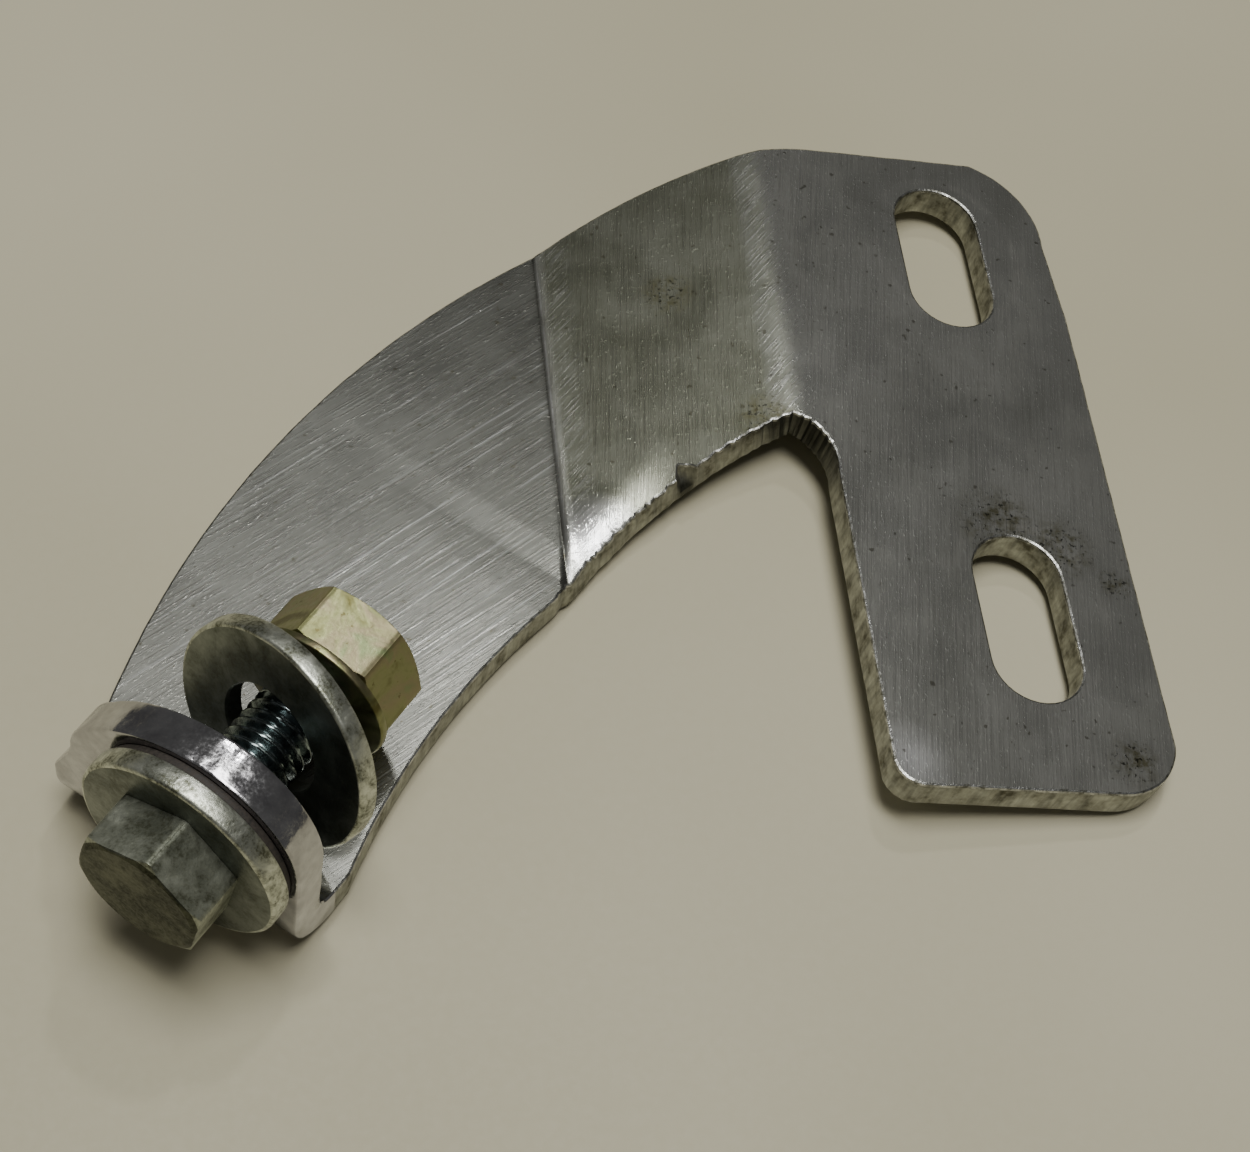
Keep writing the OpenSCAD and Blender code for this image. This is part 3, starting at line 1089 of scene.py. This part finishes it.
def build_hardware():
    dull = zinc_material(
        "Bolt zinc",
        (0.26, 0.28, 0.22),
        (0.56, 0.59, 0.50),
        grime=(0.05, 0.05, 0.025),
        dirt=0.7,
        roughness=(0.40, 0.56),
    )
    # Painted shade: the bolt head's flat end is made dark, standing in for the shadowed floor that
    # it reflects
    end_painted_shade = zinc_material(
        "Bolt end painted shade",
        (0.055, 0.06, 0.04),
        (0.14, 0.145, 0.105),
        grime=(0.02, 0.02, 0.01),
        dirt=0.7,
        roughness=(0.42, 0.58),
    )
    # The washers' zinc in a shaded and a lit copy: the faces are painted shade, the rims a painted
    # highlight
    face = zinc_material(
        "Washer face painted shade",
        (0.10, 0.115, 0.10),
        (0.24, 0.26, 0.23),
        grime=(0.07, 0.07, 0.035),
        dirt=0.5,
        roughness=(0.30, 0.45),
    )
    rim = zinc_material(
        "Washer rim painted highlight",
        (0.34, 0.36, 0.30),
        (0.76, 0.79, 0.70),
        grime=(0.07, 0.07, 0.035),
        dirt=0.8,
        roughness=(0.30, 0.48),
        scale=1.6,
    )
    yellow = yellow_material()
    build_bolt(dull, thread_material(), end_painted_shade)
    build_nut(yellow)
    build_washer(
        "Head_washer",
        (HEAD_WASHER_X, HEAD_WASHER_T),
        (BORE_R, HEAD_WASHER_R),
        edge=0.55,
        burr=0.2,
        wear=0.05,
        materials=[face, rim],
        matrix=BOLT,
        body="head_washer",
        node="head_washer",
    )
    build_washer(
        "Friction_washer",
        (FRICTION_X, FRICTION_T),
        (BORE_R, FRICTION_R),
        edge=0.3,
        burr=0.2,
        wear=0.02,
        materials=[black_material()],
        matrix=BOLT,
        body="friction_washer",
        node="friction_washer",
    )
    build_washer(
        "Wide_washer",
        (0.0, FENDER_T),
        (FENDER_HOLE_R, FENDER_R),
        edge=0.5,
        burr=0.22,
        wear=0.05,
        materials=[face, rim],
        matrix=fender_matrix(),
        body="fender_washer",
        node="fender_washer",
    )
    build_washer(
        "Nut_washer",
        (NUT_WASHER_X, NUT_WASHER_T),
        (BORE_R, NUT_WASHER_R),
        edge=0.3,
        burr=0.15,
        wear=0.03,
        materials=[yellow],
        matrix=BOLT,
        body="nut_carrier",
        node="nut_washer",
    )


def floor_normal():
    """The floor's upward direction in the shared frame."""
    return Vector((math.sin(FLOOR_TILT), 0, math.cos(FLOOR_TILT)))


def build_floor():
    """A pale table top just under the bracket's lowest points."""
    normal = floor_normal()
    lowest = min(v.co.dot(normal) for o in frame["nodes"].values() for v in o.data.vertices)
    bm = bmesh.new()
    bmesh.ops.create_grid(bm, x_segments=12, y_segments=12, size=FLOOR_REACH)
    bm.transform(Matrix.Rotation(FLOOR_TILT, 4, "Y"))
    bm.transform(Matrix.Translation(normal * (lowest - FLOOR_GAP)))
    floor = mesh_object("Floor", bm, [floor_material()])


def add_camera():
    """The photo's camera."""
    camera = bpy.data.cameras.new("Camera")
    camera.lens = CAMERA_LENS
    camera.sensor_width = CAMERA_SENSOR
    camera.clip_start = 0.01
    holder = bpy.data.objects.new("Camera", camera)
    holder.location = CAMERA_PLACE
    holder.rotation_euler = [math.radians(a) for a in CAMERA_TURN]
    bpy.context.scene.collection.objects.link(holder)
    bpy.context.scene.camera = holder


def add_light(name, place, size, power, colour):
    """A rectangular panel of light, pointed at the middle of the bracket."""
    light = bpy.data.lights.new(name, "AREA")
    light.shape = "RECTANGLE"
    light.size, light.size_y = size
    light.energy = power
    light.color = colour
    holder = bpy.data.objects.new(name, light)
    holder.location = place
    holder.rotation_euler = (LIGHT_AIM - Vector(place)).to_track_quat("-Z", "Y").to_euler()
    bpy.context.scene.collection.objects.link(holder)


def add_lights():
    """A broad ceiling light, a small lamp beyond the bracket and the room's weak fill."""
    add_light("Ceiling", (-0.22, -0.06, 1.3), (0.75, 0.48), 14.5, WARM)
    add_light("Lamp", (0.01, 0.62, 1.35), (0.10, 0.08), 2.2, (1.0, 0.99, 0.97))
    world = bpy.data.worlds.new("World")
    bpy.context.scene.world = world
    world.use_nodes = True
    background = world.node_tree.nodes["Background"]
    background.inputs["Color"].default_value = (*WARM, 1)
    background.inputs["Strength"].default_value = 0.09


build_plate(
    plate_top_material(), plate_side_material(), plate_rim_material(), ear_rim_material()
)
build_hardware()
build_floor()
add_camera()
add_lights()
